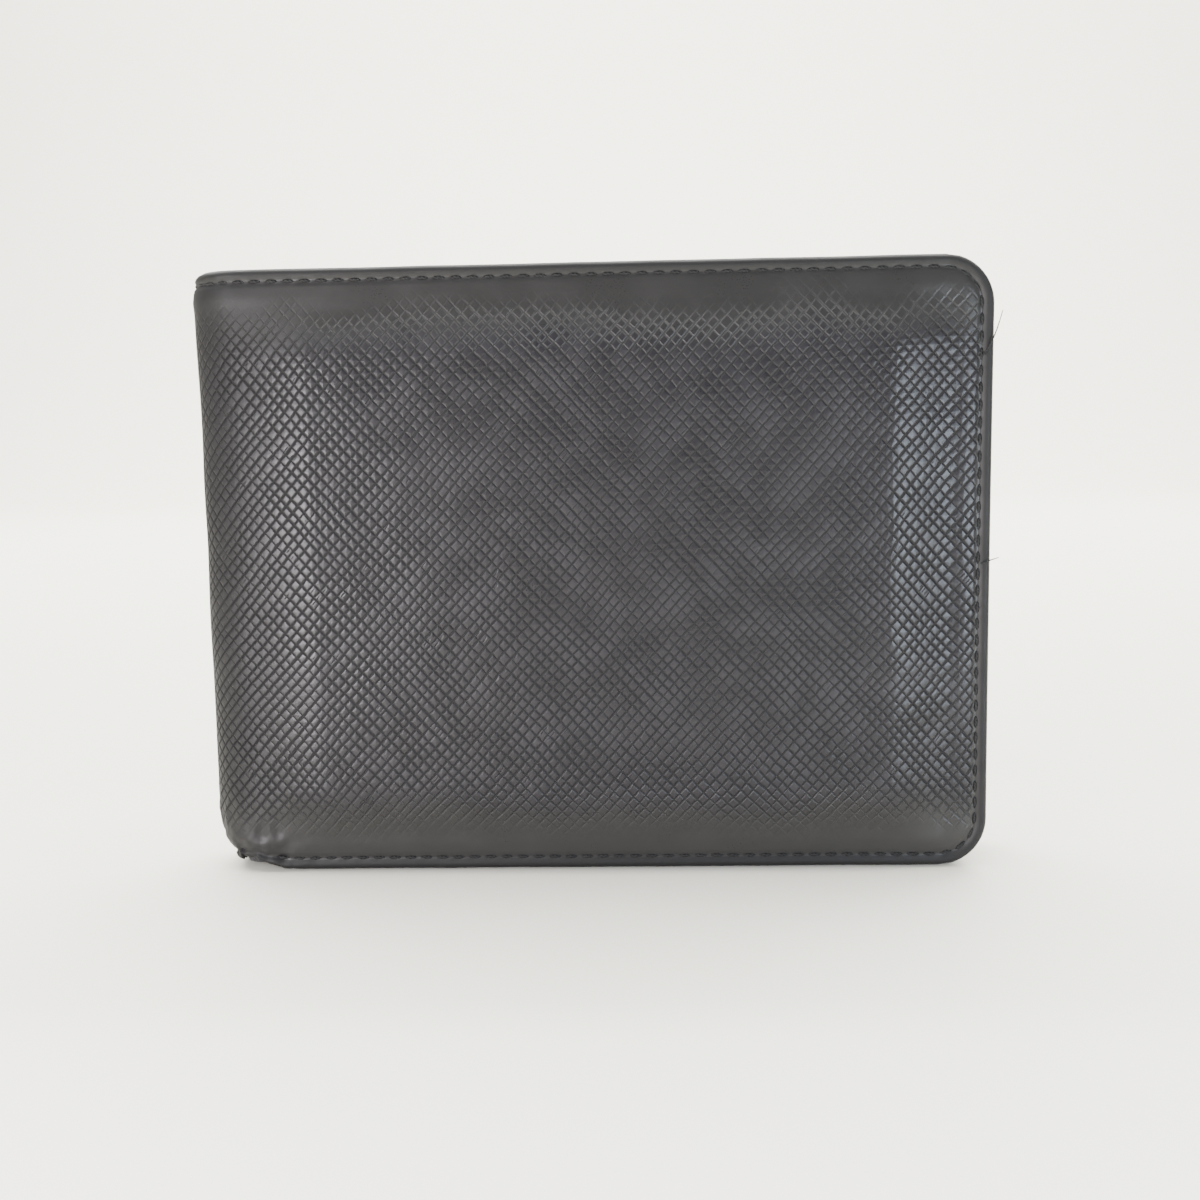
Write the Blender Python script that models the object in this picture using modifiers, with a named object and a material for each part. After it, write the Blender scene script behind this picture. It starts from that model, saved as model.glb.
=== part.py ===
"""Three-leaf folding wallet, closed and standing on its bottom edge.

Metres, +Z up. The fold is at -X, the free edge at +X and the front leaf faces -Y. The origin is
the middle of the closed wallet's base. The front leaf opens about the outermost line of the fold,
and the wing between the leaves opens about its own tab inside the fold.
"""

import math

import bmesh
import bpy

# The closed wallet
WIDTH = 0.115
HEIGHT = 0.088
DEPTH = 0.019
CORNER_RADIUS = 0.007

# The outer leather: a flat stitched band, slopes, and a raised flat middle
LEATHER = 0.0012
BAND_DEPTH = 0.014
BAND_WIDTH = 0.0028
END_SLOPE = 0.010
EDGE_SLOPE = 0.0115
FOLD_SLOPE_START = 0.002
FOLD_SLOPE = 0.016
FOLD_REACH = 0.008
FOLD_PIECE_REACH = 0.0055
FOLD_PIECE_GAP = 0.0008
STITCH_INSET = 0.0018
THREAD_RADIUS = 0.00025

# The layers of a leaf, from the middle plane outwards
CLEAR = 0.0003
LEAF_FACE = 0.0019
POCKET = 0.0005
PANEL = 0.0005
DIVIDER = 0.0004
LINING = 0.0004
STIFFENER = 0.0004
LINING_RELIEF = 0.0018
POCKET_TOPS = (0.071, 0.060, 0.049)
INNER_PANEL_TOP = 0.080
INNER_MARGIN = 0.0015
PANEL_START = 0.0085
PANEL_RADIUS = 0.0055

# The wing
WING_AXIS = 0.0026
WING_CORE = 0.0005
WING_SHEET = 0.0004
WING_FILM = 0.0002
WING_OUTER_POCKET = 0.0003
WING_TAB_LENGTH = 0.0039
WING_END = 0.049
WING_BOTTOM = 0.003
WING_TOP = 0.077
WING_RADIUS = 0.004
WINDOW_WIDTH = 0.080
WINDOW_BOTTOM = 0.010
WINDOW_TOP = 0.058
WINDOW_RADIUS = 0.003
FILM_OVERLAP = 0.004
THUMB_NOTCH = 0.008

# Worked out from the above
FOLD_X = -WIDTH / 2
EDGE_X = WIDTH / 2
BAND_HALF = BAND_DEPTH / 2
RELIEF = DEPTH / 2 - BAND_HALF
LINING_HALF = BAND_HALF - LEATHER - CLEAR
PANEL_X = FOLD_X + PANEL_START
CORNER_STEPS = 6
SLOPE_STEPS = 4

BLACK = (0.030, 0.029, 0.032)
INNER_BLACK = (0.022, 0.021, 0.023)
LINING_GREY = (0.045, 0.044, 0.047)
BOARD_BROWN = (0.23, 0.19, 0.15)
THREAD_BLACK = (0.012, 0.012, 0.013)
FILM_CLEAR = (0.80, 0.82, 0.83)


def clear_scene():
    for obj in list(bpy.data.objects):
        bpy.data.objects.remove(obj, do_unlink=True)


def new_collection(name):
    made = bpy.data.collections.new(name)
    bpy.context.scene.collection.children.link(made)
    return made


def principled(name, colour, roughness, alpha=1.0):
    material = bpy.data.materials.new(name)
    material.use_nodes = True
    shader = material.node_tree.nodes["Principled BSDF"]
    shader.inputs["Base Color"].default_value = (*colour, 1.0)
    shader.inputs["Roughness"].default_value = roughness
    shader.inputs["Metallic"].default_value = 0.0
    shader.inputs["Alpha"].default_value = alpha
    return material


def hinge_empty(name, x, collection):
    empty = bpy.data.objects.new(name, None)
    empty.location = (x, 0.0, 0.0)
    collection.objects.link(empty)
    return empty


def add_part(obj, name, colour, roughness, collection, hinge=None, alpha=1.0):
    """Name, colour and hang an object on the hinge that moves it."""
    obj.name = name
    obj.data.name = name
    collection.objects.link(obj)
    obj.data.materials.append(principled(name + "_finish", colour, roughness, alpha))
    if hinge is not None:
        obj.parent = hinge
        obj.location = obj.location - hinge.location
    return obj


def smooth_rise(distance, length):
    """0 to 1 over a length, with level ends."""
    t = min(max(distance / length, 0.0), 1.0)
    return t * t * (3 - 2 * t)


def raised(x, z):
    """How far the raised middle has risen at a point of a leaf, 0 to 1."""
    return (
        smooth_rise(EDGE_X - x - BAND_WIDTH, EDGE_SLOPE)
        * smooth_rise(x - FOLD_X - FOLD_SLOPE_START, FOLD_SLOPE)
        * smooth_rise(z - BAND_WIDTH, END_SLOPE)
        * smooth_rise(HEIGHT - z - BAND_WIDTH, END_SLOPE)
    )


def half_depth(x, z, band_half, relief, start, reach):
    """Distance of a skin from the middle plane, rounded in towards the fold."""
    inward = 1 - min((x - FOLD_X - start) / reach, 1.0)
    return band_half * math.sqrt(1 - inward * inward) + relief * raised(x, z)


def arc(centre_x, centre_y, radius, first, last):
    """Points of a round corner, with angles in degrees."""
    points = []
    for step in range(CORNER_STEPS + 1):
        angle = math.radians(first + (last - first) * step / CORNER_STEPS)
        points.append((centre_x + radius * math.cos(angle), centre_y + radius * math.sin(angle)))
    return points


def panel_outline(left, right, bottom, top, low_right, high_right, low_left, high_left, notch=0.0):
    """A panel's outline with a radius for each corner and a thumb notch in the top edge."""
    outline = []
    corners = (
        (right, bottom, low_right, -1, 1, 270),
        (right, top, high_right, -1, -1, 0),
        (left, top, high_left, 1, -1, 90),
        (left, bottom, low_left, 1, 1, 180),
    )
    for x, y, radius, side_x, side_y, first in corners:
        if first == 90 and notch > 0.0:
            outline.extend(arc((left + right) / 2, top, notch, 360, 180))
        if radius > 0.0:
            outline.extend(arc(x + side_x * radius, y + side_y * radius, radius, first, first + 90))
        else:
            outline.append((x, y))
    return outline


def flat_panel(outlines, inner, thickness):
    """A flat sheet in the XZ plane between two depths, from its outline and its openings."""
    curve = bpy.data.curves.new("panel", "CURVE")
    curve.dimensions = "2D"
    curve.fill_mode = "BOTH"
    curve.extrude = thickness / 2
    for outline in outlines:
        spline = curve.splines.new("POLY")
        spline.points.add(len(outline) - 1)
        for point, (x, y) in zip(spline.points, outline):
            point.co = (x, y, 0.0, 1.0)
        spline.use_cyclic_u = True
    panel = bpy.data.objects.new("panel", curve)
    panel.location = (0.0, inner + thickness / 2, 0.0)
    panel.rotation_euler = (math.pi / 2, 0.0, 0.0)
    return panel


def outline_cutter(outline, cutters):
    """A block along Y with the given outline, as a mesh that trims the trays."""
    curve_object = flat_panel([outline], -DEPTH, 2 * DEPTH)
    cutters.objects.link(curve_object)
    bpy.context.view_layer.update()
    graph = bpy.context.evaluated_depsgraph_get()
    mesh = bpy.data.meshes.new_from_object(curve_object.evaluated_get(graph))
    welded = bmesh.new()
    welded.from_mesh(mesh)
    bmesh.ops.remove_doubles(welded, verts=welded.verts, dist=0.00001)
    bmesh.ops.recalc_face_normals(welded, faces=welded.faces)
    welded.to_mesh(mesh)
    welded.free()
    cutter = bpy.data.objects.new("leaf_outline_cutter", mesh)
    cutter.matrix_world = curve_object.matrix_world.copy()
    bpy.data.objects.remove(curve_object)
    cutter.hide_render = True
    cutter.display_type = "WIRE"
    cutters.objects.link(cutter)
    return cutter


def stations(first, last, slope_from, slope_to, slope_back, slope_end):
    """Places of grid lines: at both ends, and close together over the two slopes."""
    places = [first]
    for low, high in ((slope_from, slope_to), (slope_back, slope_end)):
        places.extend(low + (high - low) * step / SLOPE_STEPS for step in range(SLOPE_STEPS + 1))
    places.append(last)
    return places


def skin_grid(columns, rows, place, thickness, side):
    """A skin laid on a grid whose points go where place(column, row) puts them."""
    skin = bmesh.new()
    bmesh.ops.create_grid(
        skin, x_segments=len(columns) - 1, y_segments=len(rows) - 1, size=0.5, calc_uvs=False
    )
    for vert in skin.verts:
        column = columns[round((vert.co.x + 0.5) * (len(columns) - 1))]
        row = rows[round((vert.co.y + 0.5) * (len(rows) - 1))]
        vert.co = place(column, row)
    if side > 0:
        bmesh.ops.reverse_faces(skin, faces=skin.faces)
    mesh = bpy.data.meshes.new("skin")
    skin.to_mesh(mesh)
    skin.free()
    mesh.shade_smooth()
    mesh.set_sharp_from_angle(angle=math.radians(40))
    obj = bpy.data.objects.new("skin", mesh)
    shell = obj.modifiers.new("thickness", "SOLIDIFY")
    shell.thickness = thickness
    shell.offset = -1.0
    shell.use_even_offset = True
    return obj


def end_rows(low, high):
    """Grid lines up the wallet, close together over the slopes at its two ends."""
    return stations(
        low, high, BAND_WIDTH, BAND_WIDTH + END_SLOPE,
        HEIGHT - BAND_WIDTH - END_SLOPE, HEIGHT - BAND_WIDTH,
    )


def leaf_tray(side, band_half, relief, start, thickness, cutter):
    """A leaf's outer leather or lining, trimmed to the leaf's outline."""
    over = CLEAR * 3
    columns = stations(
        FOLD_X + FOLD_PIECE_REACH, EDGE_X + over,
        FOLD_X + FOLD_REACH, FOLD_X + FOLD_SLOPE_START + FOLD_SLOPE,
        EDGE_X - BAND_WIDTH - EDGE_SLOPE, EDGE_X - BAND_WIDTH,
    )
    reach = FOLD_REACH - start

    def place(x, z):
        return (x, side * half_depth(x, z, band_half, relief, start, reach), z)

    tray = skin_grid(columns, end_rows(-over, HEIGHT + over), place, thickness, side)
    trim = tray.modifiers.new("outline", "BOOLEAN")
    trim.operation = "INTERSECT"
    trim.solver = "EXACT"
    trim.object = cutter
    return tray


def fold_strip(band_half, relief, start, thickness):
    """The strip of leather or lining that goes round the fold from leaf to leaf."""
    reach = FOLD_REACH - start
    widest = math.acos(1 - (FOLD_PIECE_REACH - start) / reach)
    turns = 12
    angles = [widest * (2 * step / turns - 1) for step in range(turns + 1)]

    def place(angle, z):
        x = FOLD_X + start + reach * (1 - math.cos(angle))
        half = half_depth(x, z, band_half, relief, start, reach)
        return (x, math.copysign(half, angle), z)

    return skin_grid(angles, end_rows(CLEAR, HEIGHT - CLEAR), place, thickness, 1)


def seam_thread(side):
    """The leaf's seam, one run of thread just proud of the stitched band."""
    radius = CORNER_RADIUS - STITCH_INSET
    right = EDGE_X - STITCH_INSET
    top = HEIGHT - STITCH_INSET
    start = FOLD_X + FOLD_REACH
    route = [(start, STITCH_INSET)]
    route.extend(arc(right - radius, STITCH_INSET + radius, radius, 270, 360))
    route.extend(arc(right - radius, top - radius, radius, 0, 90))
    route.append((start, top))
    curve = bpy.data.curves.new("thread", "CURVE")
    curve.dimensions = "3D"
    curve.bevel_depth = THREAD_RADIUS
    curve.bevel_resolution = 1
    curve.use_fill_caps = True
    spline = curve.splines.new("POLY")
    spline.points.add(len(route) - 1)
    depth = side * (BAND_HALF + CLEAR + THREAD_RADIUS)
    for point, (x, z) in zip(spline.points, route):
        point.co = (x, depth, z, 1.0)
    return bpy.data.objects.new("thread", curve)


def leaf_panel(side, inner, thickness, top, inset):
    """An inner sheet of a leaf; inset is its distance inside the leaf's outline."""
    start = inner if side > 0 else -inner - thickness
    free_radius = max(PANEL_RADIUS - inset, 0.002)
    outline = panel_outline(
        PANEL_X, EDGE_X - inset, inset, top, free_radius, free_radius, 0.0, 0.001
    )
    return flat_panel([outline], start, thickness)


def plateau_sheet(side, inner, thickness, level):
    """A sheet that fits inside the raised middle, where that has risen to a level, 0 to 1."""
    start = inner if side > 0 else -inner - thickness
    ends = BAND_WIDTH + END_SLOPE * level
    outline = panel_outline(
        FOLD_X + FOLD_SLOPE_START + FOLD_SLOPE * level, EDGE_X - BAND_WIDTH - EDGE_SLOPE * level,
        ends, HEIGHT - ends, PANEL_RADIUS, PANEL_RADIUS, 0.001, 0.001,
    )
    return flat_panel([outline], start, thickness)


def build_leaf(name, side, collection, cutter, hinge):
    """One outer leaf: leather, lining, stiffener, note divider, inner panel, pockets and seam."""
    cover = leaf_tray(side, BAND_HALF, RELIEF, 0.0, LEATHER, cutter)
    add_part(cover, name + "_cover", BLACK, 0.45, collection, hinge)
    lining = leaf_tray(side, LINING_HALF, LINING_RELIEF, LEATHER + CLEAR, LINING, cutter)
    add_part(lining, name + "_cover_lining", LINING_GREY, 0.9, collection, hinge)
    board = plateau_sheet(side, LINING_HALF + LINING_RELIEF + CLEAR, STIFFENER, 1.0)
    add_part(board, name + "_stiffener", BOARD_BROWN, 0.85, collection, hinge)

    depth = LEAF_FACE
    for number, top in reversed(list(enumerate(POCKET_TOPS, start=1))):
        pocket = leaf_panel(side, depth, POCKET, top, INNER_MARGIN)
        add_part(pocket, f"{name}_card_pocket_{number}", INNER_BLACK, 0.5, collection, hinge)
        depth += POCKET + CLEAR
    panel = leaf_panel(side, depth, PANEL, INNER_PANEL_TOP, INNER_MARGIN)
    add_part(panel, name + "_inner_panel", INNER_BLACK, 0.5, collection, hinge)
    divider_level = 0.65
    divider = plateau_sheet(side, depth + PANEL + 2 * CLEAR, DIVIDER, divider_level)
    add_part(divider, name + "_note_divider", LINING_GREY, 0.9, collection, hinge)
    thread = seam_thread(side)
    add_part(thread, name + "_seam_thread", THREAD_BLACK, 0.7, collection, hinge)


def build_fold(collection):
    """The leather and lining that bend round the fold."""
    leather = fold_strip(BAND_HALF, RELIEF, 0.0, LEATHER)
    add_part(leather, "fold_cover", BLACK, 0.45, collection)
    lining = fold_strip(LINING_HALF, LINING_RELIEF, LEATHER + CLEAR, LINING)
    add_part(lining, "fold_lining", LINING_GREY, 0.9, collection)


def wing_panel(left, right, bottom, top, inner, thickness, openings=(), notch=0.0):
    outline = panel_outline(
        left, right, bottom, top, WING_RADIUS, WING_RADIUS, 0.001, 0.001, notch
    )
    return flat_panel([outline, *openings], inner, thickness)


def build_wing(collection, hinge):
    """The middle leaf: hinge tab, core, two card pockets, identity frame and its film."""
    axis_x = FOLD_X + WING_AXIS
    tab_start = axis_x - CLEAR
    core_start = tab_start + WING_TAB_LENGTH + CLEAR
    sheet_start = core_start + INNER_MARGIN
    sheet_end = WING_END - INNER_MARGIN / 3
    half_core = WING_CORE / 2

    tab = flat_panel(
        [panel_outline(tab_start, tab_start + WING_TAB_LENGTH, WING_BOTTOM, WING_TOP, 0, 0, 0, 0)],
        -half_core, WING_CORE,
    )
    add_part(tab, "wing_hinge_tab", INNER_BLACK, 0.5, collection, hinge)
    core = wing_panel(core_start, WING_END, WING_BOTTOM, WING_TOP, -half_core, WING_CORE)
    add_part(core, "wing_core", INNER_BLACK, 0.5, collection, hinge)

    depth = half_core + CLEAR
    sheets = ((POCKET_TOPS[1], WING_SHEET), (POCKET_TOPS[2], WING_OUTER_POCKET))
    for number, (top, thickness) in enumerate(sheets, start=1):
        pocket = wing_panel(sheet_start, sheet_end, WING_BOTTOM, top, depth, thickness)
        add_part(pocket, f"wing_card_pocket_{number}", INNER_BLACK, 0.5, collection, hinge)
        depth += thickness + CLEAR

    middle = (sheet_start + sheet_end) / 2
    left = middle - WINDOW_WIDTH / 2
    right = middle + WINDOW_WIDTH / 2
    film_inner = -half_core - CLEAR - WING_FILM
    film = flat_panel(
        [panel_outline(
            left - FILM_OVERLAP, right + FILM_OVERLAP,
            WINDOW_BOTTOM - FILM_OVERLAP, WINDOW_TOP + FILM_OVERLAP, 0, 0, 0, 0,
        )],
        film_inner, WING_FILM,
    )
    add_part(film, "wing_window_film", FILM_CLEAR, 0.15, collection, hinge, alpha=0.3)
    radii = (WINDOW_RADIUS,) * 4
    window = panel_outline(left, right, WINDOW_BOTTOM, WINDOW_TOP, *radii)
    frame = wing_panel(
        sheet_start, sheet_end, WING_BOTTOM, POCKET_TOPS[0], film_inner - CLEAR - WING_SHEET,
        WING_SHEET, openings=(window,), notch=THUMB_NOTCH,
    )
    add_part(frame, "wing_window_frame", INNER_BLACK, 0.5, collection, hinge)


def build():
    clear_scene()
    wallet = new_collection("trifold_wallet")
    cutters = new_collection("cutters")
    front_hinge = hinge_empty("front_fold_axis", FOLD_X, wallet)
    wing_hinge = hinge_empty("wing_fold_axis", FOLD_X + WING_AXIS, wallet)
    leaf_start = FOLD_X + FOLD_PIECE_REACH + FOLD_PIECE_GAP
    leaf_outline = panel_outline(
        leaf_start, EDGE_X, 0.0, HEIGHT, CORNER_RADIUS, CORNER_RADIUS, 0.0, 0.0
    )
    cutter = outline_cutter(leaf_outline, cutters)
    build_leaf("back", 1, wallet, cutter, None)
    build_leaf("front", -1, wallet, cutter, front_hinge)
    build_fold(wallet)
    build_wing(wallet, wing_hinge)


build()
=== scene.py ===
"""A three-leaf folding wallet in black crosshatch leather, finished around its fixed frame.

The frame gives every size and place. The outer leather and its lining are each one flat cut,
wrapped round the fold from leaf to leaf; the inner sheets lie where the frame's layers are.
All lengths are in metres unless a name says otherwise.
"""

import logging
import math
from dataclasses import dataclass, field
from enum import Enum
from typing import Callable, Dict, List, Sequence, Tuple, Union

import bpy
import numpy as np
from mathutils import Matrix, Vector, noise


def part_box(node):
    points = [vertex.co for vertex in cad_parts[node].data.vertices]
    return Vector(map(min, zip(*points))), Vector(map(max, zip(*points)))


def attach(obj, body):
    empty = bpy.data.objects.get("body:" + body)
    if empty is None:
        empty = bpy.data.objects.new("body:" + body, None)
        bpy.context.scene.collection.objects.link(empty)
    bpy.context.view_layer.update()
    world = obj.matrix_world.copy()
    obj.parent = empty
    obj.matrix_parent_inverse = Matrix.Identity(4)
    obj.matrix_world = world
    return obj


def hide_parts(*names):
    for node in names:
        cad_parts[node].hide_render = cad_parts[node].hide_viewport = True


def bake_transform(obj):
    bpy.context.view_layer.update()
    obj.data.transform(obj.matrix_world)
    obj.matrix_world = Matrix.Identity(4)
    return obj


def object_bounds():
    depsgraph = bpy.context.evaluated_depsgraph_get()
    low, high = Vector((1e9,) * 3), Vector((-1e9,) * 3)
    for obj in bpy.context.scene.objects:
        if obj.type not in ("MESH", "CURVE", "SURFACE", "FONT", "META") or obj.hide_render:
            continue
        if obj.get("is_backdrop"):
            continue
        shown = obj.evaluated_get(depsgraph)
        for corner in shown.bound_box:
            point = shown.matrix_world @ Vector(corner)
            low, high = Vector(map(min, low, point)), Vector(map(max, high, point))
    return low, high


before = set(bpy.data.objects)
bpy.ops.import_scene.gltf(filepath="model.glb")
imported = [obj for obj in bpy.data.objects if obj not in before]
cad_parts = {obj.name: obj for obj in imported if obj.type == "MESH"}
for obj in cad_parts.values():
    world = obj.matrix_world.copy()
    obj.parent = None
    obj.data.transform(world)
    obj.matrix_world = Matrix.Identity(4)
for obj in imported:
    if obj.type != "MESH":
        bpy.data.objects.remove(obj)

LOG = logging.getLogger("wallet")
MM = 0.001
CORNER = 7.0 * MM
LAYER_GAP = 0.3 * MM
HALF = (0.5, 0.5, 0.5)

Array = np.ndarray
Socket = bpy.types.NodeSocket
Colour = Tuple[float, float, float]
Feed = Union[float, Socket]


class Body(str, Enum):
    """The frame's moving bodies."""

    BACK = "back_leaf"
    FRONT = "front_leaf"
    WING = "wing"


class Face(Enum):
    """Which way a flat sheet's good side looks."""

    FORWARD = -1
    BACKWARD = 1


class Slot(str, Enum):
    """The record's material slots."""

    OUTER = "outer_leather"
    INNER = "inner_leather"
    LINING = "lining_fabric"
    DIVIDER = "divider_fabric"
    BOARD = "stiffener_board"
    THREAD = "seam_thread"
    FILM = "window_film"


# ---------------------------------------------------------------- finishes


class Board:
    """Places and joins the shader nodes of one material."""

    COLOUR_INPUTS = (6, 7)
    COLOUR_OUTPUT = 2

    def __init__(self, name: str) -> None:
        """Starts a material with a Principled shader.

        Args:
            name: The material's name.
        """
        self.material = bpy.data.materials.new(name)
        self.material.use_nodes = True
        self.tree = self.material.node_tree
        self.shader = self.tree.nodes["Principled BSDF"]

    def add(self, kind: str, **settings: object) -> bpy.types.Node:
        """Adds a node and sets its properties.

        Args:
            kind: The node's type name.
            settings: Property values by name.

        Returns:
            The new node.
        """
        node = self.tree.nodes.new(kind)
        for key, value in settings.items():
            setattr(node, key, value)
        return node

    def feed(self, socket: Socket, value: object) -> None:
        """Joins a socket to an output, or sets its value.

        Args:
            socket: The input to fill.
            value: An output to join to it, or a plain value.
        """
        if isinstance(value, bpy.types.NodeSocket):
            self.tree.links.new(value, socket)
        else:
            socket.default_value = value

    def math(self, operation: str, *values: Feed) -> Socket:
        """A Math node's result.

        Args:
            operation: What the node does.
            values: One to three inputs.

        Returns:
            The result's socket.
        """
        node = self.add("ShaderNodeMath", operation=operation)
        for socket, value in zip(node.inputs, values):
            self.feed(socket, value)
        return node.outputs[0]

    def vector(self, operation: str, *values: object) -> Socket:
        """A Vector Math node's result.

        Args:
            operation: What the node does.
            values: The inputs.

        Returns:
            The result: a number for a dot product, else a vector.
        """
        node = self.add("ShaderNodeVectorMath", operation=operation)
        for socket, value in zip(node.inputs, values):
            self.feed(socket, value)
        return node.outputs["Value" if operation == "DOT_PRODUCT" else "Vector"]

    def scaled(self, vector: Socket, factor: float) -> Socket:
        """A vector multiplied by a number.

        Args:
            vector: The vector.
            factor: The number.

        Returns:
            The scaled vector's socket.
        """
        node = self.add("ShaderNodeVectorMath", operation="SCALE")
        self.feed(node.inputs[0], vector)
        node.inputs["Scale"].default_value = factor
        return node.outputs["Vector"]

    def step(
        self, value: Feed, low: float, high: float, start: float = 0.0, end: float = 1.0
    ) -> Socket:
        """A smooth step from one number to another.

        Args:
            value: The input.
            low: Where the step begins.
            high: Where it ends.
            start: The result up to low.
            end: The result from high on.

        Returns:
            The result's socket.
        """
        node = self.add("ShaderNodeMapRange", interpolation_type="SMOOTHSTEP")
        for socket, given in zip(node.inputs, (value, low, high, start, end)):
            self.feed(socket, given)
        return node.outputs[0]

    def mix(self, share: Feed, first: object, second: object) -> Socket:
        """A blend of two colours.

        Args:
            share: The second colour's share.
            first: A colour, or a socket that gives one.
            second: The same.

        Returns:
            The blended colour's socket.
        """
        node = self.add("ShaderNodeMix", data_type="RGBA")
        self.feed(node.inputs[0], share)
        for index, value in zip(self.COLOUR_INPUTS, (first, second)):
            self.feed(node.inputs[index], (*value, 1.0) if isinstance(value, tuple) else value)
        return node.outputs[self.COLOUR_OUTPUT]

    def noise(
        self, place: Socket, scale: float, detail: float = 2.0, colour: bool = False
    ) -> Socket:
        """Noise at a place, as a number or as a colour.

        Args:
            place: The place.
            scale: Features for each unit of the place.
            detail: How many finer layers are added.
            colour: Whether a colour is wanted and not a number.

        Returns:
            The noise's socket.
        """
        node = self.add("ShaderNodeTexNoise")
        self.feed(node.inputs["Vector"], place)
        node.inputs["Scale"].default_value = scale
        node.inputs["Detail"].default_value = detail
        return node.outputs["Color" if colour else "Fac"]

    def shifted(self, place: Socket, source: Socket, scale: float, reach: float) -> Socket:
        """A place moved about by noise.

        Args:
            place: The place to move.
            source: The place at which the noise is read.
            scale: Features of the noise for each unit of the source.
            reach: How far the noise moves it.

        Returns:
            The moved place.
        """
        drift = self.vector("SUBTRACT", self.noise(source, scale, 1.0, True), HALF)
        return self.vector("ADD", place, self.scaled(drift, reach))

    def attribute(self, name: str) -> Socket:
        """A number stored on the mesh's points."""
        return self.add("ShaderNodeAttribute", attribute_name=name).outputs["Fac"]

    def cut_mm(self) -> Socket:
        """The place on the sheet's flat cut, in millimetres."""
        return self.scaled(self.add("ShaderNodeTexCoord").outputs["UV"], 1000.0)

    def place_mm(self) -> Socket:
        """The place in the wallet's own frame, in millimetres."""
        return self.scaled(self.add("ShaderNodeTexCoord").outputs["Object"], 1000.0)

    def bump(self, height: Socket, distance: float) -> None:
        """Gives the shader's normal a relief.

        Args:
            height: The relief, from 0 to 1.
            distance: The length that 1 stands for.
        """
        node = self.add("ShaderNodeBump")
        node.inputs["Strength"].default_value = 1.0
        node.inputs["Distance"].default_value = distance
        self.feed(node.inputs["Height"], height)
        self.feed(self.shader.inputs["Normal"], node.outputs[0])

    def set(self, **values: object) -> None:
        """Sets or joins the shader's inputs.

        Args:
            values: What each input gets, by its name with underscores for spaces.
        """
        for key, value in values.items():
            given = (*value, 1.0) if isinstance(value, tuple) and len(value) == 3 else value
            self.feed(self.shader.inputs[key.replace("_", " ")], given)


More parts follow.
